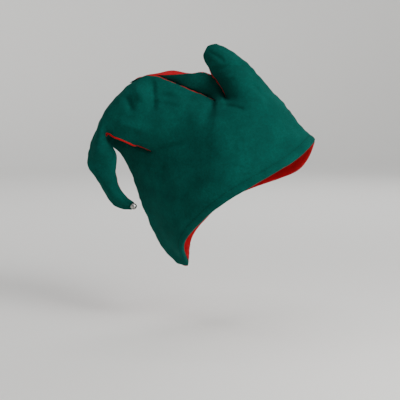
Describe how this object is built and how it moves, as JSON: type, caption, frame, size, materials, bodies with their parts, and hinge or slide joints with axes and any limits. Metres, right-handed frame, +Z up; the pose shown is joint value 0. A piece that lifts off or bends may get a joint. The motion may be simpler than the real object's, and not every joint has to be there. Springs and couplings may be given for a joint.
{
  "type": "elf hat",
  "caption": "Soft two-tone felt elf hat for a costume, with an upright front horn, a folded middle point and a long drooping rear point that ends in a small bell.",
  "frame": {"origin": "inside the top of the crown, where the wearer's head bears", "axes": "+X forward, the way the wearer faces; +Y to the wearer's left; +Z up"},
  "size_m": [0.2927, 0.1537, 0.2883],
  "materials": {
    "green_felt": "soft brushed felt",
    "red_felt": "soft brushed felt",
    "bell_metal": "bright plated",
    "thread": "matte cotton"
  },
  "bodies": {
    "root": {"right_panel": "green_felt", "left_panel": "red_felt", "tail_bell": "bell_metal", "bell_ball": "bell_metal", "bell_thread": "thread"}
  },
  "joints": []
}
